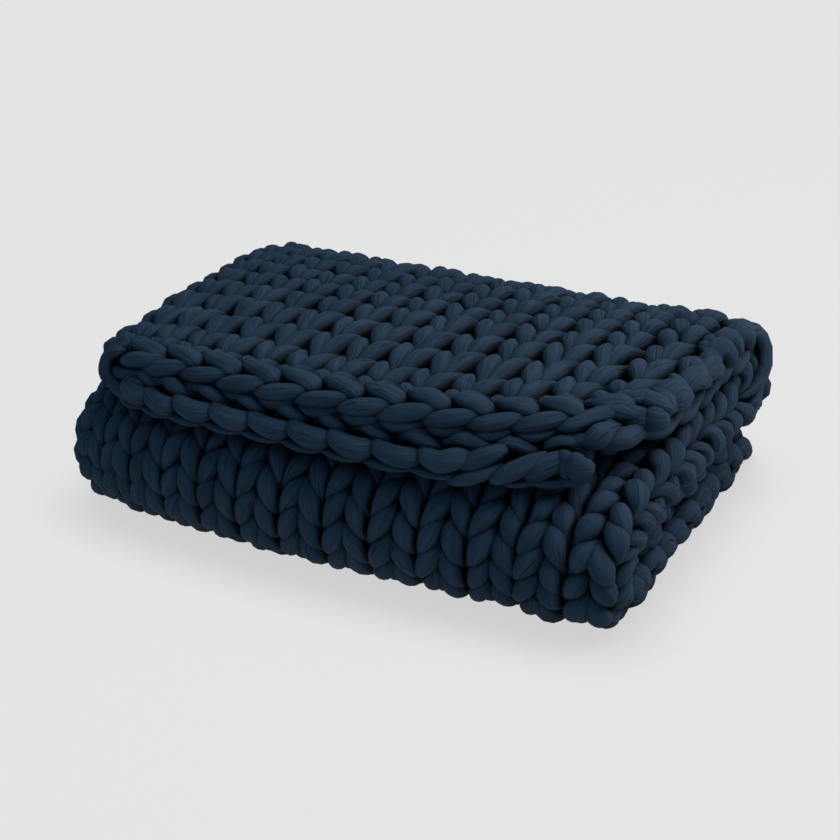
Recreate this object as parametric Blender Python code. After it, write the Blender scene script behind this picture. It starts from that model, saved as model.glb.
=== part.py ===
"""Folded chunky-knit weighted blanket, modelled as the one piece of cloth that it is.

The cloth is a single thick knitted rectangle. It is folded in half across its
width, with that fold down the left side, and the doubled cloth is then folded
back and forth in thirds: down over the back, forward, down over the front and
back again along the surface it lies on. That makes six layers.

The middle surface of the cloth is worked out from two numbers:
    across  -1 right selvedge of the upper half, 0 the side fold, +1 right
            selvedge of the lower half
    along   0 the top front edge, 1 the free end at the bottom back
and the solid is that surface thickened to both sides. Metres, +Z up, +X to the
right along the front, +Y to the back, origin under the middle of the stack.
"""

import bmesh
import bpy
import numpy as np

MM = 0.001

# ---- driving sizes ----------------------------------------------------------
FLAT_HALF_WIDTH = 635 * MM   # half of the 1.27 m width, from side fold to selvedge
THICKNESS = 22 * MM          # one layer of the knit, pressed in the stack
PAIR_PITCH = 26 * MM         # layer to layer of the doubled cloth, at the side fold
FRONT_BOW = 19 * MM          # how far the front fold swells out along its middle
RIM_SWELL = 5 * MM           # roundness of the cut-free edges
EDGE_REACH = 3.2             # stations over which the uneven front edge fades out
SPREAD = 1.3                 # how the left-end shape gives way to the right-end one
ROUNDNESS = 1.1              # lengthens the curve's tangents, so eighth turns stay circular

# ---- density of the facets --------------------------------------------------
SPANS_ACROSS = 7             # in the flat part of each half
SPANS_SIDE_FOLD = 6          # round the side fold
SPANS_PER_STATION = 5        # along the cloth

# One row for each station along the cloth, in millimetres. "left" is the middle
# of the doubled cloth at the side fold. "upper" and "lower" are its two halves at
# the right-hand edge. The next three columns are the x of the side fold and of
# the two selvedges, and "bow" is how much of FRONT_BOW the station takes. Each
# fold is stated at its start, an eighth, a quarter, three eighths and half turn.
STATION_COLUMNS = (
    "name",
    "left_back", "left_up",
    "upper_back", "upper_up",
    "lower_back", "lower_up",
    "fold_x", "upper_x", "lower_x", "bow",
)
STATIONS = (
    ("top_edge",     12, 161.0, 108, 199,  33, 174.0, 27, 594, 555, 0.0),
    ("top_front",    80, 160.0, 160, 200, 108, 174.0, 15, 602, 588, 0.0),
    ("top_middle",  188, 154.0, 240, 199, 207, 172.0,  8, 603, 597, 0.0),
    ("top_back",    355, 147.5, 330, 189, 309, 166.0, 14, 602, 597, 0.0),
    ("back_upper",  380, 137.5, 376, 160, 321, 161.0, 21, 602, 597, 0.0),
    ("back_crest",  390, 112.5, 401, 116, 326, 149.5, 24, 606, 602, 0.0),
    ("back_lower",  380,  87.5, 388,  86, 321, 138.0, 17, 606, 602, 0.0),
    ("mid_back",    355,  77.5, 350,  76, 309, 133.0,  9, 597, 597, 0.0),
    ("mid_middle",  188,  86.0, 207, 103, 193, 142.0,  4, 597, 597, 0.0),
    ("mid_front",   103, 103.0,  98, 103,  94, 137.0,  0, 592, 597, 0.2),
    ("front_upper",  47, 107.0,  51, 102,  30, 128.0,  1, 592, 594, 0.7),
    ("front_high",   18,  94.0,  38,  96,   2, 105.0,  2, 592, 592, 1.0),
    ("front_crest",   7,  65.0,  32,  83,  -6,  70.0,  3, 590, 588, 1.0),
    ("front_lower",  18,  37.0,  38,  70,   0,  32.0,  4, 588, 585, 1.0),
    ("low_front",    50,  24.0,  51,  64,  36,  11.0,  3, 585, 583, 0.7),
    ("low_middle",  207,  24.0, 207,  66, 207,  11.0,  2, 585, 583, 0.0),
    ("low_end",     385,  24.0, 404,  42, 404,  11.0,  9, 587, 585, 0.0),
)

# The top front edge runs unevenly: it bulges forward and falls back at the right.
# One row for each place across, as a share of the flat part, in millimetres.
EDGE_COLUMNS = ("share", "upper_back", "upper_up", "lower_back", "lower_up")
FRONT_EDGE = (
    (0.00,  15, 174,   9, 148),
    (0.15,  13, 178,  -8, 150),
    (0.35,   4, 184, -11, 154),
    (0.55,   0, 191, -15, 160),
    (0.75,  13, 196, -11, 164),
    (0.88,  42, 199,   4, 169),
    (1.00, 108, 199,  33, 174),
)


def smooth_run(points, samples=24):
    """A smooth curve through points, a row for each, with samples to a span.

    The knots are spaced by a power of the distance between the points, so that
    the curve keeps round where they come close together.
    """
    points = np.asarray(points, float)
    ends = np.vstack([2 * points[0] - points[1], points, 2 * points[-1] - points[-2]])
    knot = np.linalg.norm(np.diff(ends, axis=0), axis=1)**0.6
    knot = np.maximum(knot, 1e-6)[:, None]
    step = np.diff(ends, axis=0)
    slope = ROUNDNESS * (step[:-1] / knot[:-1] - (step[:-1] + step[1:]) / (knot[:-1] + knot[1:]) + step[1:] / knot[1:])
    t = np.linspace(0, 1, samples, endpoint=False)[:, None]
    spans = []
    for k in range(len(points) - 1):
        a, b, width = points[k], points[k + 1], knot[k + 1]
        spans.append((2 * t**3 - 3 * t**2 + 1) * a + (t**3 - 2 * t**2 + t) * slope[k] * width
                     + (3 * t**2 - 2 * t**3) * b + (t**3 - t**2) * slope[k + 1] * width)
    return np.vstack(spans + [points[-1:]])


def smooth_columns(names, rows):
    """The columns of the station table, sampled smoothly: the three profiles as
    curves in the plane of back and up, the others each on its own."""
    table = dict(zip(names, np.array(rows, float).T))
    course = {}
    for who in ("left", "upper", "lower"):
        run = smooth_run(np.column_stack([table[who + "_back"], table[who + "_up"]]))
        course[who + "_back"], course[who + "_up"] = run[:, 0] * MM, run[:, 1] * MM
    places = np.arange(len(rows)) * 10.0
    for key in ("fold_x", "upper_x", "lower_x"):
        course[key] = smooth_run(np.column_stack([places, table[key]]))[:, 1] * MM
    course["bow"] = smooth_run(np.column_stack([places, table["bow"]]))[:, 1]
    return course


COURSE = smooth_columns(STATION_COLUMNS[1:], [row[1:] for row in STATIONS])
STATION_COUNT = len(STATIONS)
SAMPLES = len(COURSE["fold_x"])
EDGE = dict(zip(EDGE_COLUMNS, np.array(FRONT_EDGE, float).T))


def left_normal():
    """Which way the upper half lies from the middle of the pair, at the side fold."""
    run = np.column_stack([COURSE["left_back"], COURSE["left_up"]])
    chord = np.diff(run, axis=0)
    chord /= np.linalg.norm(chord, axis=1, keepdims=True)
    along = np.vstack([chord[:1], chord[:-1] + chord[1:], chord[-1:]])
    along /= np.linalg.norm(along, axis=1, keepdims=True)
    return -along[:, 1], along[:, 0]


NORMAL_BACK, NORMAL_UP = left_normal()


def middle_surface(across, along):
    """The point of the cloth's middle surface for arrays of across and along."""
    across, along = np.broadcast_arrays(np.asarray(across, float), np.asarray(along, float))
    place = along * (SAMPLES - 1)
    at = {key: np.interp(place, np.arange(SAMPLES), values) for key, values in COURSE.items()}
    normal_back = np.interp(place, np.arange(SAMPLES), NORMAL_BACK)
    normal_up = np.interp(place, np.arange(SAMPLES), NORMAL_UP)
    station = along * (STATION_COUNT - 1)

    radius = PAIR_PITCH / 2
    quarter = np.pi / 2 * radius
    flat = np.abs(across) * FLAT_HALF_WIDTH
    turning = flat < quarter
    angle = np.clip(flat / radius, 0, np.pi / 2)
    share = np.clip((flat - quarter) / (FLAT_HALF_WIDTH - quarter), 0, 1)
    blend = share**SPREAD
    upper = across <= 0
    side = np.where(upper, 1.0, -1.0)

    def pick(a, b):
        return np.where(upper, a, b)

    # the doubled cloth at its left end, and each half at its right end
    reach = side * radius * np.where(turning, np.sin(angle), 1.0)
    back = at["left_back"] + normal_back * reach
    up = at["left_up"] + normal_up * reach
    back = (1 - blend) * back + blend * pick(at["upper_back"], at["lower_back"])
    up = (1 - blend) * up + blend * pick(at["upper_up"], at["lower_up"])

    # the front fold swells out between its ends
    back = back - FRONT_BOW * at["bow"] * np.sin(np.pi * share**0.8)

    # the uneven top front edge, fading out towards the back
    start = {key: values[0] for key, values in COURSE.items()}
    plain_back = (1 - blend) * (start["left_back"] + NORMAL_BACK[0] * side * radius) \
        + blend * pick(start["upper_back"], start["lower_back"])
    plain_up = (1 - blend) * (start["left_up"] + NORMAL_UP[0] * side * radius) \
        + blend * pick(start["upper_up"], start["lower_up"])
    edge_back = pick(np.interp(share, EDGE["share"], EDGE["upper_back"]),
                     np.interp(share, EDGE["share"], EDGE["lower_back"])) * MM
    edge_up = pick(np.interp(share, EDGE["share"], EDGE["upper_up"]),
                   np.interp(share, EDGE["share"], EDGE["lower_up"])) * MM
    fade = np.clip(1 - station / EDGE_REACH, 0, 1)**1.5 * np.where(turning, np.sin(angle), 1.0)
    back = back + (edge_back - plain_back) * fade
    up = up + (edge_up - plain_up) * fade

    x = at["fold_x"] + radius + (pick(at["upper_x"], at["lower_x"]) - at["fold_x"] - radius) * share
    x = np.where(turning, at["fold_x"] + radius * (1 - np.cos(angle)), x)
    return np.stack([x, back, up], axis=-1)


def surface_normal(across, along, step=1e-3):
    """The knit side's direction: up on the top layer."""
    d_across = middle_surface(np.minimum(across + step, 1), along) \
        - middle_surface(np.maximum(across - step, -1), along)
    d_along = middle_surface(across, np.minimum(along + step, 1)) \
        - middle_surface(across, np.maximum(along - step, 0))
    normal = np.cross(d_along, d_across)
    return normal / np.linalg.norm(normal, axis=-1, keepdims=True)


def lattice():
    """across and along at every corner of the facets."""
    turn = np.pi / 2 * (PAIR_PITCH / 2) / FLAT_HALF_WIDTH
    flat = np.linspace(turn, 1, SPANS_ACROSS + 1)[1:]
    across = np.concatenate([-flat[::-1], np.linspace(-turn, turn, SPANS_SIDE_FOLD + 1), flat])
    along = np.linspace(0, 1, (STATION_COUNT - 1) * SPANS_PER_STATION + 1)
    return np.meshgrid(across, along, indexing="ij")


def outward(points, inner):
    """Unit vectors from the last ring of points but one to the rim."""
    way = points - inner
    return way / np.linalg.norm(way, axis=-1, keepdims=True)


def thickened():
    """Both faces of the cloth, and the rounded rim between them."""
    across, along = lattice()
    middle = middle_surface(across, along)
    normal = surface_normal(across, along)
    faces = [middle + normal * THICKNESS / 2, middle - normal * THICKNESS / 2]
    for face in faces:
        # the underside lies flat on the surface that carries the stack
        low = face[..., 2] < 0.4 * MM
        face[..., 2] = np.where(low, 0.0, face[..., 2])
    rim = [
        middle[0] + RIM_SWELL * outward(middle[0], middle[1]),
        middle[:, -1] + RIM_SWELL * outward(middle[:, -1], middle[:, -2]),
        middle[-1] + RIM_SWELL * outward(middle[-1], middle[-2]),
        middle[:, 0] + RIM_SWELL * outward(middle[:, 0], middle[:, 1]),
    ]
    return faces, rim


def stack_centre(faces):
    """Middle of the stack's footprint, which becomes the origin."""
    points = np.concatenate([face.reshape(-1, 3) for face in faces])
    low, high = points.min(axis=0), points.max(axis=0)
    return np.array([(low[0] + high[0]) / 2, (low[1] + high[1]) / 2, 0.0])


def cloth_mesh(name):
    (knit, purl), rim = thickened()
    rims = np.concatenate(rim)
    centre = stack_centre([knit, purl, rims[:, None]])
    wide, long = knit.shape[:2]
    bm = bmesh.new()
    top = [[bm.verts.new(knit[i, j] - centre) for j in range(long)] for i in range(wide)]
    low = [[bm.verts.new(purl[i, j] - centre) for j in range(long)] for i in range(wide)]
    for i in range(wide - 1):
        for j in range(long - 1):
            bm.faces.new((top[i][j], top[i][j + 1], top[i + 1][j + 1], top[i + 1][j]))
            bm.faces.new((low[i][j], low[i + 1][j], low[i + 1][j + 1], low[i][j + 1]))
    # walk once round the cloth: left selvedge, end, right selvedge, front edge
    walk = [(0, j) for j in range(long)] + [(i, long - 1) for i in range(1, wide)] \
        + [(wide - 1, j) for j in range(long - 2, -1, -1)] + [(i, 0) for i in range(wide - 2, 0, -1)]
    swell = {}
    for j in range(long):
        swell[(0, j)] = rim[0][j]
        swell[(wide - 1, j)] = rim[2][j]
    for i in range(1, wide - 1):
        swell[(i, long - 1)] = rim[1][i]
        swell[(i, 0)] = rim[3][i]
    ring = [bm.verts.new(swell[key] - centre) for key in walk]
    for k, key in enumerate(walk):
        after = walk[(k + 1) % len(walk)]
        a, b = ring[k], ring[(k + 1) % len(walk)]
        bm.faces.new((top[key[0]][key[1]], a, b, top[after[0]][after[1]]))
        bm.faces.new((a, low[key[0]][key[1]], low[after[0]][after[1]], b))
    bmesh.ops.recalc_face_normals(bm, faces=bm.faces)
    bmesh.ops.triangulate(bm, faces=bm.faces, quad_method="SHORT_EDGE")
    mesh = bpy.data.meshes.new(name)
    bm.to_mesh(mesh)
    bm.free()
    mesh.shade_smooth()
    return mesh


def navy_jersey():
    material = bpy.data.materials.new("navy_jersey_yarn")
    material.use_nodes = True
    shader = material.node_tree.nodes["Principled BSDF"]
    shader.inputs["Base Color"].default_value = (0.018, 0.036, 0.072, 1.0)
    shader.inputs["Roughness"].default_value = 0.85
    shader.inputs["Metallic"].default_value = 0.0
    return material


def main():
    for obj in list(bpy.data.objects):
        bpy.data.objects.remove(obj, do_unlink=True)
    blanket = bpy.data.objects.new("blanket", cloth_mesh("blanket"))
    blanket.data.materials.append(navy_jersey())
    bpy.context.scene.collection.objects.link(blanket)


main()
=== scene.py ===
"""The looks of the folded chunky-knit weighted blanket.

The blanket is knitted here stitch by stitch from one thick padded yarn: every
course is a tube of stockinette loops laid over the folded middle surface of the
cloth, the two cut-free ends carry a chain of links, and neighbouring courses are
joined round the selvedges. Metres, in the frame of the CAD model.

Places on the cloth are given by
    s      metres across, from 0 at the side fold: negative on the upper half,
           positive on the lower half, towards their right-hand selvedges
    q      0 at the top front edge to 34 at the free end, by length of the cloth
    w      metres out of the cloth, towards its knit side
"""

import math

import bpy
import numpy as np
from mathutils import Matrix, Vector


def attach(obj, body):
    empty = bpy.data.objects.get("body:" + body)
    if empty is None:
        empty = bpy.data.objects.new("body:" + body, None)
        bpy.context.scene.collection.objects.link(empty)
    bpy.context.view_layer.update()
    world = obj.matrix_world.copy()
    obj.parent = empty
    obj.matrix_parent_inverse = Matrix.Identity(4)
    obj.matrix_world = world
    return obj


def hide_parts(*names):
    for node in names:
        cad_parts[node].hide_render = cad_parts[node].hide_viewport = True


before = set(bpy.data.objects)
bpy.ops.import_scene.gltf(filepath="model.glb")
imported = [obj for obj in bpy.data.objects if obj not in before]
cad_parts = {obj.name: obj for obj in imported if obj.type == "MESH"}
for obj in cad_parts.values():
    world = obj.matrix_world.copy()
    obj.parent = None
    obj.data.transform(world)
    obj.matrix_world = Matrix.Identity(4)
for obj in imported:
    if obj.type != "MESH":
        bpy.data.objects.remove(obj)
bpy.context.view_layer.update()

MM = 0.001

# =============================================================================
# The folded middle surface, as in the CAD model
# =============================================================================
FLAT_HALF_WIDTH = 635 * MM
PAIR_PITCH = 26 * MM
FRONT_BOW = 19 * MM
EDGE_REACH = 3.2
SPREAD = 1.3
ROUNDNESS = 1.1
CENTRE = np.array([0.3003082, 0.18900263, 0.0])   # the CAD model's origin in the tables' terms

STATION_COLUMNS = (
    "name",
    "left_back", "left_up",
    "upper_back", "upper_up",
    "lower_back", "lower_up",
    "fold_x", "upper_x", "lower_x", "bow",
)
STATIONS = (
    ("top_edge",     12, 161.0, 108, 199,  33, 174.0, 27, 594, 555, 0.0),
    ("top_front",    80, 160.0, 160, 200, 108, 174.0, 15, 602, 588, 0.0),
    ("top_middle",  188, 154.0, 240, 199, 207, 172.0,  8, 603, 597, 0.0),
    ("top_back",    355, 147.5, 330, 189, 309, 166.0, 14, 602, 597, 0.0),
    ("back_upper",  380, 137.5, 376, 160, 321, 161.0, 21, 602, 597, 0.0),
    ("back_crest",  390, 112.5, 401, 116, 326, 149.5, 24, 606, 602, 0.0),
    ("back_lower",  380,  87.5, 388,  86, 321, 138.0, 17, 606, 602, 0.0),
    ("mid_back",    355,  77.5, 350,  76, 309, 133.0,  9, 597, 597, 0.0),
    ("mid_middle",  188,  86.0, 207, 103, 193, 142.0,  4, 597, 597, 0.0),
    ("mid_front",   103, 103.0,  98, 103,  94, 137.0,  0, 592, 597, 0.2),
    ("front_upper",  47, 107.0,  51, 102,  30, 128.0,  1, 592, 594, 0.7),
    ("front_high",   18,  94.0,  38,  96,   2, 105.0,  2, 592, 592, 1.0),
    ("front_crest",   7,  65.0,  32,  83,  -6,  70.0,  3, 590, 588, 1.0),
    ("front_lower",  18,  37.0,  38,  70,   0,  32.0,  4, 588, 585, 1.0),
    ("low_front",    50,  24.0,  51,  64,  36,  11.0,  3, 585, 583, 0.7),
    ("low_middle",  207,  24.0, 207,  66, 207,  11.0,  2, 585, 583, 0.0),
    ("low_end",     385,  24.0, 404,  42, 404,  11.0,  9, 587, 585, 0.0),
)
EDGE_COLUMNS = ("share", "upper_back", "upper_up", "lower_back", "lower_up")
FRONT_EDGE = (
    (0.00,  15, 174,   9, 148),
    (0.15,  13, 178,  -8, 150),
    (0.35,   4, 184, -11, 154),
    (0.55,   0, 191, -15, 160),
    (0.75,  13, 196, -11, 164),
    (0.88,  42, 199,   4, 169),
    (1.00, 108, 199,  33, 174),
)


def smooth_run(points, samples=24):
    points = np.asarray(points, float)
    ends = np.vstack([2 * points[0] - points[1], points, 2 * points[-1] - points[-2]])
    knot = np.linalg.norm(np.diff(ends, axis=0), axis=1)**0.6
    knot = np.maximum(knot, 1e-6)[:, None]
    step = np.diff(ends, axis=0)
    slope = ROUNDNESS * (step[:-1] / knot[:-1] - (step[:-1] + step[1:]) / (knot[:-1] + knot[1:]) + step[1:] / knot[1:])
    t = np.linspace(0, 1, samples, endpoint=False)[:, None]
    spans = []
    for k in range(len(points) - 1):
        a, b, width = points[k], points[k + 1], knot[k + 1]
        spans.append((2 * t**3 - 3 * t**2 + 1) * a + (t**3 - 2 * t**2 + t) * slope[k] * width
                     + (3 * t**2 - 2 * t**3) * b + (t**3 - t**2) * slope[k + 1] * width)
    return np.vstack(spans + [points[-1:]])


def smooth_columns(names, rows):
    table = dict(zip(names, np.array(rows, float).T))
    course = {}
    for who in ("left", "upper", "lower"):
        run = smooth_run(np.column_stack([table[who + "_back"], table[who + "_up"]]))
        course[who + "_back"], course[who + "_up"] = run[:, 0] * MM, run[:, 1] * MM
    places = np.arange(len(rows)) * 10.0
    for key in ("fold_x", "upper_x", "lower_x"):
        course[key] = smooth_run(np.column_stack([places, table[key]]))[:, 1] * MM
    course["bow"] = smooth_run(np.column_stack([places, table["bow"]]))[:, 1]
    return course


COURSE = smooth_columns(STATION_COLUMNS[1:], [row[1:] for row in STATIONS])
STATION_COUNT = len(STATIONS)
SAMPLES = len(COURSE["fold_x"])
EDGE = dict(zip(EDGE_COLUMNS, np.array(FRONT_EDGE, float).T))


def left_normal():
    run = np.column_stack([COURSE["left_back"], COURSE["left_up"]])
    chord = np.diff(run, axis=0)
    chord /= np.linalg.norm(chord, axis=1, keepdims=True)
    along = np.vstack([chord[:1], chord[:-1] + chord[1:], chord[-1:]])
    along /= np.linalg.norm(along, axis=1, keepdims=True)
    return -along[:, 1], along[:, 0]


NORMAL_BACK, NORMAL_UP = left_normal()


def middle_surface(across, along):
    across, along = np.broadcast_arrays(np.asarray(across, float), np.asarray(along, float))
    place = along * (SAMPLES - 1)
    at = {key: np.interp(place, np.arange(SAMPLES), values) for key, values in COURSE.items()}
    normal_back = np.interp(place, np.arange(SAMPLES), NORMAL_BACK)
    normal_up = np.interp(place, np.arange(SAMPLES), NORMAL_UP)
    station = along * (STATION_COUNT - 1)

    radius = PAIR_PITCH / 2
    quarter = np.pi / 2 * radius
    flat = np.abs(across) * FLAT_HALF_WIDTH
    turning = flat < quarter
    angle = np.clip(flat / radius, 0, np.pi / 2)
    share = np.clip((flat - quarter) / (FLAT_HALF_WIDTH - quarter), 0, 1)
    blend = share**SPREAD
    upper = across <= 0
    side = np.where(upper, 1.0, -1.0)

    def pick(a, b):
        return np.where(upper, a, b)

    reach = side * radius * np.where(turning, np.sin(angle), 1.0)
    back = at["left_back"] + normal_back * reach
    up = at["left_up"] + normal_up * reach
    back = (1 - blend) * back + blend * pick(at["upper_back"], at["lower_back"])
    up = (1 - blend) * up + blend * pick(at["upper_up"], at["lower_up"])
    back = back - FRONT_BOW * at["bow"] * np.sin(np.pi * share**0.8)

    start = {key: values[0] for key, values in COURSE.items()}
    plain_back = (1 - blend) * (start["left_back"] + NORMAL_BACK[0] * side * radius) \
        + blend * pick(start["upper_back"], start["lower_back"])
    plain_up = (1 - blend) * (start["left_up"] + NORMAL_UP[0] * side * radius) \
        + blend * pick(start["upper_up"], start["lower_up"])
    edge_back = pick(np.interp(share, EDGE["share"], EDGE["upper_back"]),
                     np.interp(share, EDGE["share"], EDGE["lower_back"])) * MM
    edge_up = pick(np.interp(share, EDGE["share"], EDGE["upper_up"]),
                   np.interp(share, EDGE["share"], EDGE["lower_up"])) * MM
    fade = np.clip(1 - station / EDGE_REACH, 0, 1)**1.5 * np.where(turning, np.sin(angle), 1.0)
    back = back + (edge_back - plain_back) * fade
    up = up + (edge_up - plain_up) * fade

    x = at["fold_x"] + radius + (pick(at["upper_x"], at["lower_x"]) - at["fold_x"] - radius) * share
    x = np.where(turning, at["fold_x"] + radius * (1 - np.cos(angle)), x)
    return np.stack([x, back, up], axis=-1)


# =============================================================================
# Places on the cloth
# =============================================================================
Q_END = 34.0
# where each half's selvedge starts to roll towards the purl side, and how tightly
UPPER_ROLL, UPPER_ROLL_RADIUS = 612 * MM, 13 * MM
LOWER_ROLL, LOWER_ROLL_RADIUS = 622 * MM, 16 * MM
LOWER_END_ROLL, LOWER_END_RADIUS = 604 * MM, 10 * MM     # at the front end of the lower half
BACK_SPREAD = 16 * MM      # the upper half's selvedge lies flatter round the fold at the back
# inside the pile, where each half faces itself, the yarn swells to fill the room: (millimetres,
# the half's sign of s, q from, q to)
SWELLS = ((2.5, 1, 3.0, 16.0), (5.0, -1, 15.5, 33.0))
FOLD_DRAW, FOLD_DRAW_REACH = 3.0 * MM, 32 * MM     # the yarn lies flatter round the side fold

ACROSS_GRID = np.concatenate([-np.linspace(1, 0.04, 49), np.linspace(-0.036, 0.036, 19), np.linspace(0.04, 1, 49)])
ALONG_GRID = np.linspace(0, 1, 1601)
_rows = middle_surface(ACROSS_GRID[:, None], ALONG_GRID[None, :])
_steps = np.linalg.norm(np.diff(_rows, axis=1), axis=-1)
_run = np.concatenate([np.zeros((len(ACROSS_GRID), 1)), np.cumsum(_steps, axis=1)], axis=1)
LENGTH = _run[:, -1]
Q_GRID = np.linspace(0, Q_END, 681)
ALONG_AT = np.stack([np.interp(Q_GRID / Q_END, r / r[-1], ALONG_GRID) for r in _run])


def along_of(across, q):
    """The surface's along, for a place across and a length down the cloth."""
    i = np.clip(np.searchsorted(ACROSS_GRID, across) - 1, 0, len(ACROSS_GRID) - 2)
    a = np.clip((across - ACROSS_GRID[i]) / (ACROSS_GRID[i + 1] - ACROSS_GRID[i]), 0, 1)
    place = np.clip(q, 0, Q_END) / Q_END * (len(Q_GRID) - 1)
    j = np.clip(place.astype(int), 0, len(Q_GRID) - 2)
    b = place - j
    low = ALONG_AT[i, j] * (1 - b) + ALONG_AT[i, j + 1] * b
    high = ALONG_AT[i + 1, j] * (1 - b) + ALONG_AT[i + 1, j + 1] * b
    return low * (1 - a) + high * a


def unit(v):
    return v / np.maximum(np.linalg.norm(v, axis=-1, keepdims=True), 1e-12)


def on_cloth(s, q, w, rolled=True):
    """Point and outward normal at a place on the cloth, also past its edges."""
    s, q, w = (np.asarray(v, float) for v in np.broadcast_arrays(s, q, w))
    near_end = np.exp(-(np.maximum(q, 0) / 1.8)**2)
    near_back = BACK_SPREAD * np.exp(-((q - 12.6) / 1.5)**2)
    flat = np.clip(s, -UPPER_ROLL - near_back, LOWER_ROLL + (LOWER_END_ROLL - LOWER_ROLL) * near_end)
    roll = np.where(s < 0, UPPER_ROLL_RADIUS, LOWER_ROLL_RADIUS + (LOWER_END_RADIUS - LOWER_ROLL_RADIUS) * near_end)
    w = w - FOLD_DRAW * np.exp(-(s / FOLD_DRAW_REACH)**2)
    for swell, half, first, stop in SWELLS:
        away = np.clip((s * half - 25 * MM) / (50 * MM), 0, 1)
        inside = np.clip((q - first) / 1.5, 0, 1) * np.clip((stop - q) / 1.5, 0, 1)
        w = w + swell * MM * away * inside
    across = flat / FLAT_HALF_WIDTH
    held = np.clip(q, 0, Q_END)
    along = along_of(across, held)
    step = 2e-3
    low, high = np.maximum(along - step, 0), np.minimum(along + step, 1)
    down = unit(middle_surface(across, high) - middle_surface(across, low))
    near, far = np.maximum(across - 3e-3, -1), np.minimum(across + 3e-3, 1)
    right = middle_surface(far, along_of(far, held)) - middle_surface(near, along_of(near, held))
    normal = unit(np.cross(down, right))
    right = np.cross(normal, down)
    point = middle_surface(across, along)
    length = np.interp(across, ACROSS_GRID, LENGTH)
    point = point + down * ((q - held) * length / Q_END)[..., None]
    # the roll of the selvedge
    past = np.abs(s) - np.abs(flat)
    angle = past / roll if rolled else np.zeros_like(past)
    out = right * np.sign(s)[..., None]
    point = point + roll[..., None] * (np.sin(angle)[..., None] * out - (1 - np.cos(angle))[..., None] * normal)
    if not rolled:
        point = point + past[..., None] * out
    turned = np.cos(angle)[..., None] * normal + np.sin(angle)[..., None] * out
    return point + w[..., None] * turned - CENTRE, turned


# =============================================================================
# Wales and courses
# =============================================================================
WALE_FIRST, WALE_LAST = -14, 13
# (wale, its middle in millimetres from the side fold)
WALE_PLACES = ((-15, -651.0), (-14, -605.6), (-1, -15.9), (0, 10.9), (13, 640.1), (14, 688.5))

# (course, q of the points of its Vs)
COURSE_COLUMNS = ("course", "q")
COURSES = (
    (-3, 0.05), (-2, 0.28), (-1, 0.70), (0, 1.40), (1, 2.75), (2, 4.15), (3, 5.40), (4, 6.40),
    (5, 7.25), (6, 8.10), (7, 9.00), (15, 16.20), (17, 18.00), (20, 20.40), (23, 22.70),
    (24, 23.50), (26, 25.20), (35, 33.50), (36, 34.10), (37, 34.45),
)
COURSE_COUNT = 36


def monotone(table, at):
    """A smooth curve through the rows (x, y) of a table, never turning back."""
    x, y = np.array(table, float).T
    h, d = np.diff(x), np.diff(y) / np.diff(x)
    m = np.empty(len(x))
    m[0], m[-1] = d[0], d[-1]
    a, b = d[:-1], d[1:]
    weight = (h[:-1] + 2 * h[1:]) / (3 * (h[:-1] + h[1:]))
    m[1:-1] = np.where(a * b > 0, a * b / (weight * b + (1 - weight) * a + 1e-12), 0)
    at = np.asarray(at, float)
    i = np.clip(np.searchsorted(x, at) - 1, 0, len(h) - 1)
    t = (at - x[i]) / h[i]
    inside = (2 * t**3 - 3 * t**2 + 1) * y[i] + (t**3 - 2 * t**2 + t) * h[i] * m[i] \
        + (3 * t**2 - 2 * t**3) * y[i + 1] + (t**3 - t**2) * h[i] * m[i + 1]
    return np.where(at < x[0], y[0] + m[0] * (at - x[0]), np.where(at > x[-1], y[-1] + m[-1] * (at - x[-1]), inside))


def s_of(wale):
    return monotone(WALE_PLACES, wale) * MM


def q_of(course, s):
    """Courses, which on the front face run a little higher at the right."""
    q = monotone(COURSES, course)
    rise = 0.30 * np.clip((s - 0.40) / 0.12, 0, 1) * np.clip((q - 17) / 3, 0, 1) * np.clip((25 - q) / 2, 0, 1)
    return q - rise


# =============================================================================
# The stitch: one loop of the yarn, from foot to foot
# =============================================================================
# x in wales from the loop's middle, y in courses from the point of its V towards
# the new loops, the rest in millimetres; the yarn is half_wide along the cloth
# and half_thick through it.
STITCH_COLUMNS = ("name", "x", "y", "out", "half_wide", "half_thick")
STITCH = (
    ("foot",        -0.50, -0.34, -12.5,  7.0, 6.0),
    ("left_base",   -0.13, -0.15,  -8.0,  5.0, 5.8),
    ("left_leg_1",  -0.205, 0.33,   1.0,  7.9, 8.9),
    ("left_leg_2",  -0.275, 0.86,   3.6, 11.2, 10.0),
    ("left_top",    -0.315, 1.42,  -3.2,  8.5, 8.0),
    ("head",         0.02,  1.74, -13.0,  7.0, 6.0),
    ("right_top",    0.36,  1.42,  -3.8,  8.5, 8.0),
    ("right_leg_2",  0.29,  0.88,   3.4, 11.2, 10.0),
    ("right_leg_1",  0.195, 0.35,   1.0,  8.1, 8.9),
    ("right_base",   0.12, -0.15,  -8.0,  5.0, 5.8),
)
LOOP = np.array([row[1:] for row in STITCH], float)
# on the lower half the legs slant more: their x, from the left base round to the right one
LOWER_HALF_X = (-0.075, -0.150, -0.268, -0.365, 0.02, 0.385, 0.278, 0.155, 0.075)
LOWER_HALF_WIDE = (4.6, 7.4, 11.6, 8.2, 7.0, 8.2, 11.6, 7.4, 4.6)
# on the upper half the stitches are looser, and the points of the Vs stay open between them
UPPER_HALF_X = (-0.105, -0.180, -0.300, -0.385, 0.00, 0.385, 0.300, 0.175, 0.105)
UPPER_HALF_WIDE = (4.2, 7.8, 11.0, 7.8, 6.5, 7.8, 11.0, 7.8, 4.2)
UPPER_HALF_Y = (-0.03, 0.40, 0.87, 1.34, 1.62, 1.34, 0.87, 0.40, -0.03)
PER_STITCH = len(LOOP)

RING = 14
RNG = np.random.default_rng(11)


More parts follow.
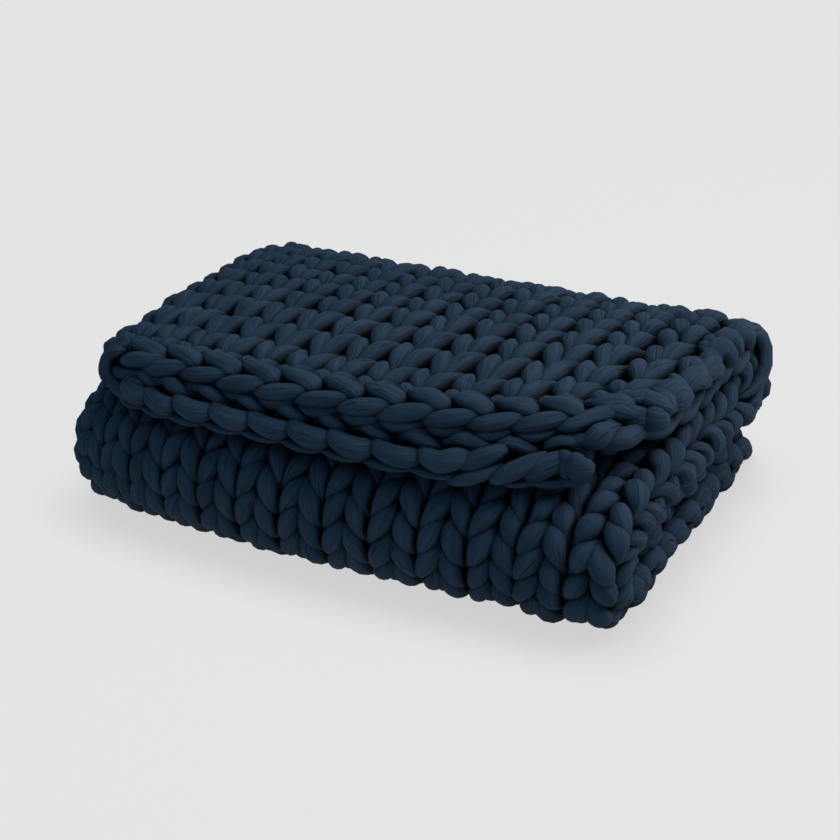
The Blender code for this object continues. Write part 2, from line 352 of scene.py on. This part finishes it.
def spline(points, counts):
    """Centripetal-like smooth curve: rows of points, with counts[k] samples in
    the span after point k. The first and last points only shape the ends."""
    out, where = [], []
    for k in range(1, len(points) - 2):
        p0, p1, p2, p3 = points[k - 1:k + 3]
        t = np.arange(counts[k])[:, None] / counts[k]
        out.append(0.5 * (2 * p1 + (p2 - p0) * t + (2 * p0 - 5 * p1 + 4 * p2 - p3) * t**2
                          + (3 * p1 - p0 - 3 * p2 + p3) * t**3))
    out.append(points[-2][None])
    return np.concatenate(out)


class Yarn:
    """Collects tubes of yarn into one mesh."""

    def __init__(self):
        self.points, self.faces, self.uv, self.count, self.triangles = [], [], [], 0, 0

    def tube(self, centre, normal, half_wide, half_thick, start=0.0, ends=True):
        n = len(centre)
        tangent = unit(np.gradient(centre, axis=0))
        wide = unit(np.cross(normal, tangent))
        thick = unit(np.cross(tangent, wide))
        angle = np.arange(RING) / RING * 2 * np.pi
        ring = centre[:, None] + wide[:, None] * (half_wide[:, None] * np.cos(angle))[..., None] \
            + thick[:, None] * (half_thick[:, None] * np.sin(angle))[..., None]
        points = ring.reshape(-1, 3)
        run = np.concatenate([[0], np.cumsum(np.linalg.norm(np.diff(centre, axis=0), axis=1))]) + start
        i, k = np.meshgrid(np.arange(n - 1), np.arange(RING), indexing="ij")
        after = (k + 1) % RING
        faces = np.stack([i * RING + k, i * RING + after, (i + 1) * RING + after, (i + 1) * RING + k], axis=-1)
        u = np.stack([run[i], run[i], run[i + 1], run[i + 1]], axis=-1)
        v = np.stack([k, k + 1, k + 1, k], axis=-1) / RING
        self.points.append(points)
        self.faces.append(faces.reshape(-1, 4) + self.count)
        self.uv.append(np.stack([u, v], axis=-1).reshape(-1, 4, 2))
        self.count += len(points)
        self.triangles += 2 * faces.shape[0] * faces.shape[1]
        if ends:
            for at, turn in ((0, False), (n - 1, True)):
                tip = centre[at] + (tangent[at] if turn else -tangent[at]) * half_thick[at] * 0.5
                self.points.append(tip[None])
                tip_index = self.count
                self.count += 1
                first = (self.count - 1 - len(points) - (1 if turn else 0)) + at * RING
                for k2 in range(RING):
                    a, b = first + k2, first + (k2 + 1) % RING
                    face = (a, b, tip_index, tip_index) if turn else (b, a, tip_index, tip_index)
                    self.faces.append(np.array([face]))
                    self.uv.append(np.array([[[run[at], k2 / RING], [run[at], (k2 + 1) / RING], [run[at], k2 / RING], [run[at], k2 / RING]]]))
                self.triangles += RING

    def build(self, name, material):
        points = np.concatenate(self.points)
        points[:, 2] = np.maximum(points[:, 2], 0.0004)
        quads = np.concatenate(self.faces)
        uv = np.concatenate(self.uv)
        tri = quads[:, 2] == quads[:, 3]
        sizes = np.where(tri, 3, 4)
        starts = np.concatenate([[0], np.cumsum(sizes)[:-1]])
        keep = np.ones((len(quads), 4), bool)
        keep[tri, 3] = False
        mesh = bpy.data.meshes.new(name)
        mesh.vertices.add(len(points))
        mesh.vertices.foreach_set("co", points.astype(np.float32).ravel())
        mesh.loops.add(int(sizes.sum()))
        mesh.loops.foreach_set("vertex_index", quads[keep].astype(np.int32))
        mesh.polygons.add(len(quads))
        mesh.polygons.foreach_set("loop_start", starts.astype(np.int32))
        layer = mesh.uv_layers.new(name="yarn")
        layer.data.foreach_set("uv", uv[keep].astype(np.float32).ravel())
        mesh.update(calc_edges=True)
        mesh.validate()
        mesh.shade_smooth()
        mesh.materials.append(material)
        obj = bpy.data.objects.new(name, mesh)
        bpy.context.scene.collection.objects.link(obj)
        return obj


def seen(course, wale):
    """Whether a stitch shows from any side."""
    edge = wale <= -12 or wale >= 11 or -2 <= wale <= 1
    top = wale < 0 and course <= 10
    back = wale < 0 and 8 <= course <= 15
    front = wale >= 0 and 17 <= course <= 27
    lip = wale >= 0 and course <= 2
    end = course >= 33
    return edge or top or back or front or lip or end


def course_path(course):
    """Control rows (wale, course place, out, half_wide, half_thick) of one course."""
    rows, fine = [], []
    for wale in range(WALE_FIRST, WALE_LAST + 1):
        loop = LOOP.copy()
        if wale >= 0:
            loop[1:, 0], loop[1:, 3] = LOWER_HALF_X, LOWER_HALF_WIDE
        else:
            loop[1:, 0], loop[1:, 1], loop[1:, 3] = UPPER_HALF_X, UPPER_HALF_Y, UPPER_HALF_WIDE
            loop[(3, 7), 2] += 0.8
            loose = np.clip((6 - course) / 4, 0, 1)      # the longer stitches towards the end open further
            loop[2:5, 0] -= 0.022 * loose
            loop[6:9, 0] += 0.022 * loose
            loop[(1, 2, 4, 6, 8, 9), 3] -= 0.9 * loose
        if wale <= -13 or wale >= 12 or wale in (-1, 0):
            loop[(3, 7), 2] += 2.0      # the stitches by the selvedges and the side fold stand prouder
            loop[(2, 4, 6, 8), 2] -= 1.5
        # the outermost leg of each course swells into a knob on the selvedge
        if wale == WALE_FIRST:
            loop[2:5, 0] += (0.03, -0.10, 0.10)
            loop[3, 3] += 1.2
        if wale == WALE_LAST:
            loop[6:9, 0] -= (0.10, -0.10, 0.03)
            loop[7, 3] += 1.2
        loop[:, 0] += wale + RNG.normal(0, 0.012, PER_STITCH)
        loop[:, 1] += RNG.normal(0, 0.02, PER_STITCH)
        loop[:, 2] += RNG.normal(0, 0.4, PER_STITCH)
        # each leg has its own place, slant and fullness; those by the selvedges stray further
        stray = 1.8 if wale <= -13 or wale >= 11 else 1.0
        for leg in (slice(2, 5), slice(6, 9)):
            loop[leg, 0] += stray * (RNG.normal(0, 0.020) + RNG.normal(0, 0.022) * (loop[leg, 1] - 0.8))
            loop[leg, 1] += stray * RNG.normal(0, 0.045)
            loop[leg, 2] += stray * RNG.normal(0, 0.7)
            loop[leg, 3:] *= 1 + np.clip(RNG.normal(0, 0.05), -0.09, 0.09)
        rows.append(np.column_stack([loop[:, 0], course - loop[:, 1], loop[:, 2:]]))
        edge = wale <= -13 or wale >= 12
        fine.extend([4 if edge else 3 if seen(course, wale) else 2] * PER_STITCH)
    rows = np.concatenate(rows)
    last = LOOP[0].copy()
    rows = np.vstack([rows, [WALE_LAST + 0.5, course - last[1], last[2], last[3], last[4]]])
    # the turn into the next course, at one selvedge, and out of the one before, at the other
    way = 1 if course % 2 == 0 else -1
    foot = course - LOOP[0, 1]

    def turn(wale, sign, way):
        return [
            [wale + sign * 0.09, foot + way * 0.16, -8.0, 6.0, 5.5],
            [wale + sign * 0.15, foot + way * 0.50, -3.5, 10.0, 8.5],
            [wale + sign * 0.09, foot + way * 0.84, -8.0, 6.0, 5.5],
        ]

    def end(wale, sign):
        return [[wale + sign * 0.02 * k, foot - 0.04 * k, -11.0, 5.0, 4.0] for k in (1, 2, 3)]

    right = turn(WALE_LAST + 0.5, 1, way)
    if course in (0, COURSE_COUNT - 1):
        left = end(WALE_FIRST - 0.5, -1)
    else:
        left = turn(WALE_FIRST - 0.5, -1, -way)
    rows = np.vstack([left[::-1], rows, right])
    fine = [4, 4, 4] + fine[:-1] + [4, 4, 4, 4]
    return rows, fine


def lay(rows, counts):
    run = spline(rows, counts)
    s = s_of(run[:, 0])
    q = q_of(run[:, 1], s)
    centre, normal = on_cloth(s, q, run[:, 2] * MM)
    return centre, normal, run[:, 3] * MM, run[:, 4] * MM


# =============================================================================
# The chains along the two free ends
# =============================================================================
# Rows are (x in wales towards the right-hand selvedge, q on the cloth, millimetres
# out, half_wide, half_thick). Each table is one strand of a link; its x is measured
# from the link's left-hand tip.
UPPER_TIPS = (1.35, 2.66, 3.86, 5.06, 6.16, 7.24, 8.30, 9.26, 10.24, 11.18, 12.08, 12.96)
LOWER_TIPS = (0.95, 1.88, 2.92, 4.05, 5.10, 6.18, 7.18, 8.20, 9.28)
UPPER_KNIT_LEAF = (
    (-0.10, 0.92, -1.0,  3.0, 2.5),
    ( 0.10, 0.80,  5.5,  5.5, 4.6),
    ( 0.48, 0.53,  9.0, 10.5, 7.0),
    ( 0.86, 0.33,  9.5, 11.5, 7.8),
    ( 1.06, 0.26,  7.0, 11.0, 7.5),
    ( 1.12, 0.24,  2.0,  8.5, 6.0),
)
UPPER_FACE_LEAF = (
    (-0.32, 0.12, -7.0,  3.5, 3.5),
    (-0.18, 0.02, -5.5,  7.0, 6.5),
    ( 0.20, -0.06, -2.0, 9.5, 8.8),
    ( 0.60, -0.04, 1.5,  9.0, 8.4),
    ( 0.90, 0.06,  3.5,  5.5, 5.5),
    ( 1.02, 0.20,  2.5,  3.0, 3.0),
)
UPPER_PURL_STRAND = (
    (-0.28, 0.24, -10.0, 3.0, 3.0),
    (-0.12, 0.04, -12.5, 6.5, 6.0),
    ( 0.22, -0.08, -13.5, 8.5, 7.4),
    ( 0.56, -0.02, -11.0, 7.0, 6.5),
    ( 0.78, 0.16, -8.0,  4.0, 4.0),
)
LOWER_FACE_BLOCK = (
    ( 0.04, 0.34, -3.0,  4.0, 5.0),
    ( 0.10, 0.04, -2.5,  9.0, 8.6),
    ( 0.45, -0.12, 0.0, 10.5, 10.6),
    ( 0.76, -0.10, 1.0, 10.8, 10.6),
    ( 0.90, 0.06,  1.5,  9.5, 9.4),
    ( 0.95, 0.30,  1.5,  6.0, 6.5),
)
LOWER_KNIT_STRAND = (
    (-0.40, 0.02,  8.5,  1.5, 1.5),
    (-0.18, -0.10, 10.5, 4.0, 3.0),
    ( 0.25, -0.12, 12.5, 8.0, 5.0),
    ( 0.65, 0.00, 12.5,  8.0, 5.0),
    ( 0.95, 0.26, 10.0,  4.0, 4.0),
)
LOWER_PURL_STRAND = (
    ( 0.30, 0.70, -14.0, 4.0, 4.0),
    ( 0.48, 0.46, -16.0, 7.0, 6.5),
    ( 0.80, 0.30, -14.5, 8.5, 7.5),
    ( 1.10, 0.22, -11.0, 7.0, 6.5),
    ( 1.28, 0.26, -7.0,  4.0, 4.0),
)
UPPER_LINK = (UPPER_KNIT_LEAF, UPPER_FACE_LEAF, UPPER_PURL_STRAND)
LOWER_LINK = (LOWER_FACE_BLOCK, LOWER_KNIT_STRAND, LOWER_PURL_STRAND)
# the lower chain hangs a little below the cloth behind it, most at this wale, in millimetres
LOWER_SAG, LOWER_SAG_AT, LOWER_SAG_REACH = 6.0, 8.8, 2.4
# the chains of the inner end stand this much further out
LAST_END_REACH = 0.2
# the strands round the side fold, where the two chains meet: x in wales, negative on the upper half
FOLD_STRANDS = (
    ((-1.40, 0.36, 3.5, 3.0, 3.0), (-1.14, 0.18, 4.5, 7.5, 6.0), (-0.60, 0.10, 1.0, 9.0, 6.5),
     (0.10, 0.07, 0.5, 9.0, 6.5), (0.62, 0.08, 3.5, 7.5, 6.0), (0.92, 0.22, 4.0, 3.0, 3.0)),
    ((-1.40, 0.20, -4.0, 3.0, 3.0), (-1.58, 0.09, -2.0, 7.0, 6.5), (-1.98, 0.01, 1.0, 9.0, 8.4),
     (-2.46, 0.00, 3.5, 8.5, 8.0), (-2.82, 0.10, 4.5, 5.5, 5.5), (-2.98, 0.24, 3.0, 3.0, 3.0)),
    ((-1.50, 0.62, 5.0, 3.0, 3.0), (-1.25, 0.56, 6.0, 8.0, 6.0), (-0.90, 0.50, 3.5, 11.0, 6.5),
     (-0.30, 0.44, 0.0, 10.5, 6.5), (0.20, 0.40, -3.0, 6.0, 6.0)),
    ((-0.30, 0.20, -3.0, 3.0, 3.0), (0.10, 0.06, -1.0, 7.0, 6.0), (0.75, -0.04, 4.0, 9.0, 7.0),
     (1.35, -0.02, 6.5, 8.5, 6.5), (1.75, 0.10, 6.0, 5.0, 5.0), (1.95, 0.20, 4.0, 2.5, 2.5)),
    ((0.70, 0.40, -8.0, 4.0, 4.0), (0.90, 0.22, -7.0, 7.0, 6.5), (1.25, 0.14, -6.0, 8.5, 7.5),
     (1.65, 0.16, -5.0, 7.0, 7.0), (1.85, 0.30, -5.0, 4.0, 4.0)),
)
# towards its right-hand end the lower chain turns over and shows its links as leaves
LOWER_END_STRANDS = (
    ((10.18, 0.20, 8.0, 3.5, 4.0), (10.26, 0.02, 7.0, 8.0, 9.0), (10.52, -0.06, 2.5, 10.0, 10.0),
     (10.82, 0.04, -4.0, 9.0, 8.5), (11.02, 0.22, -8.0, 5.0, 5.0)),
    ((9.86, 0.00, 16.5, 1.5, 1.5), (10.06, -0.12, 18.0, 5.5, 5.5), (10.45, -0.20, 17.0, 9.0, 8.0),
     (10.82, -0.14, 11.5, 7.0, 6.5), (11.04, 0.02, 7.0, 2.5, 2.5)),
    ((10.84, 0.04, 18.0, 3.0, 3.0), (10.96, -0.14, 17.0, 7.5, 7.0), (11.28, -0.18, 10.5, 10.0, 9.4),
     (11.64, -0.08, 2.0, 9.0, 8.0), (11.90, 0.08, -3.0, 4.0, 4.0)),
    ((10.85, 0.20, 20.0, 3.0, 3.0), (11.05, 0.04, 22.0, 6.0, 4.5), (11.35, 0.02, 23.0, 7.0, 5.0),
     (11.65, 0.10, 21.0, 5.0, 4.5), (11.80, 0.24, 18.0, 3.0, 3.0)),
    ((11.56, 0.10, 16.0, 4.0, 4.0), (11.64, -0.08, 14.0, 8.5, 9.0), (11.90, -0.12, 8.0, 11.0, 12.0),
     (12.18, -0.04, 2.5, 9.5, 10.0), (12.34, 0.16, -1.0, 5.0, 5.0)),
    ((11.45, 0.10, 19.0, 2.0, 2.0), (11.75, -0.04, 22.0, 7.0, 5.0), (12.15, -0.06, 23.0, 8.0, 6.0),
     (12.55, 0.02, 19.0, 7.0, 6.0), (12.78, 0.20, 13.0, 4.0, 4.0)),
    ((12.20, 0.20, 4.0, 4.0, 7.0), (12.24, 0.00, 4.0, 7.0, 13.0), (12.36, -0.08, 5.0, 7.5, 14.5),
     (12.46, 0.00, 6.0, 6.0, 12.0), (12.50, 0.20, 6.0, 4.0, 6.0)),
    ((12.40, 0.22, 5.0, 4.0, 7.0), (12.46, 0.06, 5.0, 8.0, 12.5), (12.60, 0.00, 5.0, 9.5, 14.0),
     (12.76, 0.08, 4.5, 8.0, 11.5), (12.82, 0.26, 3.5, 4.5, 6.0)),
)
# the end of the upper chain, at the front of its selvedge
UPPER_END_STRANDS = (
    ((-13.86, 0.16, -9.0, 4.0, 6.0), (-13.94, 0.04, -8.5, 9.0, 12.0), (-14.16, -0.02, -8.0, 11.0, 14.0),
     (-14.36, 0.06, -7.0, 9.0, 12.0), (-14.42, 0.20, -6.0, 5.0, 6.0)),
    ((-14.36, 0.24, -4.0, 4.0, 6.0), (-14.42, 0.12, -4.0, 9.0, 12.0), (-14.54, 0.06, -3.5, 10.0, 13.0),
     (-14.66, 0.16, -3.0, 9.0, 11.0), (-14.72, 0.30, -3.0, 5.0, 6.0)),
    ((-13.70, 0.62, 7.0, 3.0, 3.0), (-13.85, 0.52, 8.0, 9.0, 7.0), (-14.20, 0.42, 8.0, 11.0, 8.0),
     (-14.52, 0.46, 5.0, 10.0, 8.0), (-14.66, 0.60, -2.0, 6.0, 6.0)),
)


def strand(yarn, rows, side=1, last_end=False, rolled=True):
    """One short piece of yarn, thinning to its ends."""
    rows = np.array(rows, float)
    rows[1:-1, 2] += RNG.normal(0, 0.4)
    rows[:, 3:] *= 1 + RNG.normal(0, 0.03)
    rows[:, 0] *= side
    if not last_end:
        rows[:, 2] += LOWER_SAG * np.exp(-((rows[:, 0] - LOWER_SAG_AT) / LOWER_SAG_REACH)**2) * (rows[:, 0] < 10.1)
    rows = np.vstack([2 * rows[0] - rows[1], rows, 2 * rows[-1] - rows[-2]])
    run = spline(rows, [6] * len(rows))
    q = Q_END + LAST_END_REACH - run[:, 1] if last_end else run[:, 1]
    centre, normal = on_cloth(s_of(run[:, 0]), q, run[:, 2] * MM, rolled)
    yarn.tube(centre, normal, run[:, 3] * MM, run[:, 4] * MM, start=rows[0, 0] * 0.13)


def link(yarn, tables, tip, pitch, side, last_end=False):
    for table in tables:
        rows = np.array(table, float)
        rows[:, 0] = tip + rows[:, 0] * pitch
        if last_end:
            rows[:, 3:] += 2.1
        strand(yarn, rows, side, last_end)


def chain(yarn, last_end=False):
    for tables, tips, side in ((UPPER_LINK, UPPER_TIPS, -1), (LOWER_LINK, LOWER_TIPS, 1)):
        if last_end and side == 1:
            tips = LOWER_TIPS + (10.25, 11.15, 12.0)
        for tip, after in zip(tips, tips[1:] + (2 * tips[-1] - tips[-2],)):
            # the first face leaf of the upper half is one of the strands round the side fold,
            # and the last link of the inner end has nothing beyond it to pass under
            own = (tables[0], tables[2]) if (side, tip) in ((-1, UPPER_TIPS[0]), (1, 12.0)) else tables
            link(yarn, own, tip, after - tip, side, last_end)
    for rows in FOLD_STRANDS:
        strand(yarn, rows, 1, last_end)
    if not last_end:
        for rows in LOWER_END_STRANDS + UPPER_END_STRANDS:
            strand(yarn, rows, rolled=False)


# =============================================================================
# Materials
# =============================================================================
def node(tree, kind, **settings):
    made = tree.nodes.new(kind)
    for key, value in settings.items():
        setattr(made, key, value)
    return made


def navy_jersey():
    """Matt jersey: fine ribs along the yarn, soft creases, slight unevenness of the dye; painted shade darkens the
    colour in the gaps between yarns, in the creases and in the rib grooves.
    """
    material = bpy.data.materials.new("navy_jersey_yarn_looks")
    material.use_nodes = True
    tree = material.node_tree
    link = tree.links.new
    shader = tree.nodes["Principled BSDF"]
    shader.inputs["Roughness"].default_value = 0.9
    shader.inputs["Specular IOR Level"].default_value = 0.10
    uv = node(tree, "ShaderNodeUVMap", uv_map="yarn")

    # creases and folds of the jersey skin, drawn out along the yarn
    stretch = node(tree, "ShaderNodeMapping")
    stretch.inputs["Scale"].default_value = (22.0, 9.0, 1.0)
    link(uv.outputs["UV"], stretch.inputs["Vector"])
    creases = node(tree, "ShaderNodeTexNoise", noise_dimensions="2D")
    creases.inputs["Scale"].default_value = 1.0
    creases.inputs["Detail"].default_value = 3.0
    creases.inputs["Roughness"].default_value = 0.55
    link(stretch.outputs["Vector"], creases.inputs["Vector"])

    # sharp tucks where the skin folds under itself: thin lines drawn out along the yarn
    drawn = node(tree, "ShaderNodeMapping")
    drawn.inputs["Scale"].default_value = (6.0, 5.0, 1.0)
    link(uv.outputs["UV"], drawn.inputs["Vector"])
    skin_waves = node(tree, "ShaderNodeTexNoise", noise_dimensions="2D")
    skin_waves.inputs["Scale"].default_value = 1.0
    skin_waves.inputs["Detail"].default_value = 1.5
    link(drawn.outputs["Vector"], skin_waves.inputs["Vector"])
    from_line = node(tree, "ShaderNodeMath", operation="SUBTRACT")
    from_line.inputs[1].default_value = 0.5
    link(skin_waves.outputs["Fac"], from_line.inputs[0])
    off_line = node(tree, "ShaderNodeMath", operation="ABSOLUTE")
    link(from_line.outputs["Value"], off_line.inputs[0])
    # they come and go along the yarn
    here = node(tree, "ShaderNodeMapRange")
    here.inputs["From Min"].default_value = 0.42
    here.inputs["From Max"].default_value = 0.56
    here.inputs["To Min"].default_value = 0.06
    here.inputs["To Max"].default_value = 0.0
    link(creases.outputs["Fac"], here.inputs["Value"])
    off_tuck = node(tree, "ShaderNodeMath", operation="ADD")
    link(off_line.outputs["Value"], off_tuck.inputs[0])
    link(here.outputs["Result"], off_tuck.inputs[1])
    tucks = node(tree, "ShaderNodeMapRange", interpolation_type="SMOOTHSTEP")
    tucks.inputs["From Min"].default_value = 0.0
    tucks.inputs["From Max"].default_value = 0.030
    tucks.inputs["To Min"].default_value = 0.45
    tucks.inputs["To Max"].default_value = 1.0
    link(off_tuck.outputs["Value"], tucks.inputs["Value"])
    tuck_bump = node(tree, "ShaderNodeBump")
    tuck_bump.inputs["Strength"].default_value = 0.6
    tuck_bump.inputs["Distance"].default_value = 0.0015
    link(tucks.outputs["Result"], tuck_bump.inputs["Height"])

    # ribs of the fine knit, about 1.4 mm wide, running along the yarn
    ribs_at = node(tree, "ShaderNodeMapping")
    ribs_at.inputs["Scale"].default_value = (3.0, 46.0, 1.0)
    link(uv.outputs["UV"], ribs_at.inputs["Vector"])
    ribs = node(tree, "ShaderNodeTexWave", wave_type="BANDS", bands_direction="Y", wave_profile="SIN")
    ribs.inputs["Scale"].default_value = 0.3183
    ribs.inputs["Distortion"].default_value = 1.2
    ribs.inputs["Detail"].default_value = 1.0
    link(ribs_at.outputs["Vector"], ribs.inputs["Vector"])

    rib_bump = node(tree, "ShaderNodeBump")
    rib_bump.inputs["Strength"].default_value = 0.45
    rib_bump.inputs["Distance"].default_value = 0.0005
    link(ribs.outputs["Fac"], rib_bump.inputs["Height"])
    link(tuck_bump.outputs["Normal"], rib_bump.inputs["Normal"])
    crease_bump = node(tree, "ShaderNodeBump")
    crease_bump.inputs["Strength"].default_value = 0.8
    crease_bump.inputs["Distance"].default_value = 0.0035
    link(creases.outputs["Fac"], crease_bump.inputs["Height"])
    link(rib_bump.outputs["Normal"], crease_bump.inputs["Normal"])
    link(crease_bump.outputs["Normal"], shader.inputs["Normal"])

    # unevenness of the dye
    patches = node(tree, "ShaderNodeTexNoise", noise_dimensions="3D")
    patches.inputs["Scale"].default_value = 18.0
    patches.inputs["Detail"].default_value = 3.0
    where = node(tree, "ShaderNodeTexCoord")
    link(where.outputs["Object"], patches.inputs["Vector"])
    ramp = node(tree, "ShaderNodeValToRGB")
    ramp.color_ramp.elements[0].position = 0.3
    ramp.color_ramp.elements[0].color = (0.0110, 0.0232, 0.0418, 1)
    ramp.color_ramp.elements[1].position = 0.7
    ramp.color_ramp.elements[1].color = (0.0157, 0.0313, 0.0540, 1)
    link(patches.outputs["Fac"], ramp.inputs["Fac"])

    # painted shade: where two yarns press together, ambient occlusion darkens the yarn's colour towards a dark blue
    nearby = node(tree, "ShaderNodeAmbientOcclusion", samples=6)
    nearby.inputs["Distance"].default_value = 0.022
    painted_shade_amount = node(tree, "ShaderNodeMapRange", interpolation_type="SMOOTHSTEP")
    painted_shade_amount.inputs["From Min"].default_value = 0.14
    painted_shade_amount.inputs["From Max"].default_value = 0.97
    link(nearby.outputs["AO"], painted_shade_amount.inputs["Value"])
    shade = node(tree, "ShaderNodeMix", data_type="RGBA", blend_type="MIX")
    # the colour of the painted shade where the yarns press closest
    shade.inputs["A"].default_value = (0.035, 0.070, 0.095, 1)
    shade.inputs["B"].default_value = (1, 1, 1, 1)
    link(painted_shade_amount.outputs["Result"], shade.inputs["Factor"])
    skin_with_painted_shade = node(tree, "ShaderNodeMix", data_type="RGBA", blend_type="MULTIPLY")
    skin_with_painted_shade.inputs["Factor"].default_value = 1.0

    # painted shade: the colour is darkened in the rib grooves and in the low parts of the creases, with a faint
    # painted highlight on the rib crests
    grooves = node(tree, "ShaderNodeMapRange")
    grooves.inputs["To Min"].default_value = 0.84
    grooves.inputs["To Max"].default_value = 1.08
    link(ribs.outputs["Fac"], grooves.inputs["Value"])
    pinches = node(tree, "ShaderNodeMapRange")
    pinches.inputs["From Min"].default_value = 0.30
    pinches.inputs["From Max"].default_value = 0.55
    pinches.inputs["To Min"].default_value = 0.72
    pinches.inputs["To Max"].default_value = 1.03
    link(creases.outputs["Fac"], pinches.inputs["Value"])
    painted_groove_and_crease_shade = node(tree, "ShaderNodeMath", operation="MULTIPLY")
    link(grooves.outputs["Result"], painted_groove_and_crease_shade.inputs[0])
    link(pinches.outputs["Result"], painted_groove_and_crease_shade.inputs[1])
    # painted shade along the tuck lines as well
    folded = node(tree, "ShaderNodeMath", operation="MULTIPLY")
    link(painted_groove_and_crease_shade.outputs["Value"], folded.inputs[0])
    link(tucks.outputs["Result"], folded.inputs[1])
    skin = node(tree, "ShaderNodeMix", data_type="RGBA", blend_type="MULTIPLY")
    skin.inputs["Factor"].default_value = 1.0
    link(ramp.outputs["Color"], skin.inputs["A"])
    link(folded.outputs["Value"], skin.inputs["B"])
    # the dye with its painted crease shade is darkened again by the painted shade between yarns
    link(skin.outputs["Result"], skin_with_painted_shade.inputs["A"])
    link(shade.outputs["Result"], skin_with_painted_shade.inputs["B"])
    link(skin_with_painted_shade.outputs["Result"], shader.inputs["Base Color"])
    return material


def pale_floor():
    """A lit white studio floor: it shines evenly by emission and takes only a faint real shadow; the soft shadow round
    the blanket is a painted shadow.
    """
    material = bpy.data.materials.new("pale_floor")
    material.use_nodes = True
    tree = material.node_tree
    shader = tree.nodes["Principled BSDF"]
    shader.inputs["Base Color"].default_value = (0.02, 0.02, 0.02, 1)
    shader.inputs["Roughness"].default_value = 1.0
    shader.inputs["Specular IOR Level"].default_value = 0.0
    shader.inputs["Emission Color"].default_value = (1, 1, 1, 1)
    # painted shadow: the floor's emission is dimmed where ambient occlusion finds the blanket near
    nearby = node(tree, "ShaderNodeAmbientOcclusion", samples=8)
    nearby.inputs["Distance"].default_value = 0.072
    glow_with_painted_shadow = node(tree, "ShaderNodeMapRange")
    glow_with_painted_shadow.inputs["From Min"].default_value = 0.45
    glow_with_painted_shadow.inputs["From Max"].default_value = 1.0
    glow_with_painted_shadow.inputs["To Min"].default_value = 0.62
    glow_with_painted_shadow.inputs["To Max"].default_value = 0.757
    tree.links.new(nearby.outputs["AO"], glow_with_painted_shadow.inputs["Value"])
    tree.links.new(glow_with_painted_shadow.outputs["Result"], shader.inputs["Emission Strength"])
    return material


# =============================================================================
# The scene
# =============================================================================
def knit():
    material = navy_jersey()
    pieces = []
    groups = ((0, 5), (5, 11), (11, 17), (17, 22), (22, 27), (27, 32), (32, 36))
    for number, (first, stop) in enumerate(groups):
        yarn = Yarn()
        for course in range(first, stop):
            rows, counts = course_path(course)
            centre, normal, wide, thick = lay(rows, counts)
            yarn.tube(centre, normal, wide, thick, start=course * 0.37)
        if first == 0:
            chain(yarn)
        if stop == COURSE_COUNT:
            chain(yarn, last_end=True)
        obj = yarn.build(f"knit_{number + 1}", material)
        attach(obj, "root")
        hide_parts("blanket")
        pieces.append(obj)
    return pieces


def floor():
    mesh = bpy.data.meshes.new("floor")
    r = 14.0
    mesh.from_pydata([(-r, -r, 0), (r, -r, 0), (r, r, 0), (-r, r, 0)], [], [(0, 1, 2, 3)])
    mesh.materials.append(pale_floor())
    obj = bpy.data.objects.new("floor", mesh)
    bpy.context.scene.collection.objects.link(obj)


def camera():
    data = bpy.data.cameras.new("camera")
    data.sensor_width = 36.0
    data.lens = 2050 / 840 * 36.0
    data.clip_end = 60
    obj = bpy.data.objects.new("camera", data)
    obj.location = (0.8562, -1.7123, 1.0422)
    obj.rotation_euler = (math.radians(63.3996), 0, math.radians(26.6526))
    bpy.context.scene.collection.objects.link(obj)
    bpy.context.scene.camera = obj


def lights():
    world = bpy.data.worlds.new("studio")
    world.use_nodes = True
    tree = world.node_tree
    seen_sky = tree.nodes["Background"]
    seen_sky.inputs["Color"].default_value = (0.776, 0.776, 0.776, 1)
    fill = node(tree, "ShaderNodeBackground")
    fill.inputs["Color"].default_value = (0.58, 1.0, 1.26, 1)
    fill.inputs["Strength"].default_value = 0.56
    path = node(tree, "ShaderNodeLightPath")
    mix = node(tree, "ShaderNodeMixShader")
    tree.links.new(path.outputs["Is Camera Ray"], mix.inputs["Fac"])
    tree.links.new(fill.outputs["Background"], mix.inputs[1])
    tree.links.new(seen_sky.outputs["Background"], mix.inputs[2])
    tree.links.new(mix.outputs["Shader"], tree.nodes["World Output"].inputs["Surface"])
    bpy.context.scene.world = world
    data = bpy.data.lights.new("soft_box", "AREA")
    data.shape = "DISK"
    data.size = 1.3
    data.energy = 41
    data.color = (1.0, 0.88, 0.81)
    obj = bpy.data.objects.new("soft_box", data)
    obj.location = (1.00, 0.30, 1.45)
    obj.rotation_euler = (obj.location - Vector((0, 0, 0.1))).to_track_quat("Z", "Y").to_euler()
    bpy.context.scene.collection.objects.link(obj)


camera()
floor()
lights()
knit()

bpy.context.scene.view_settings.view_transform = "Standard"
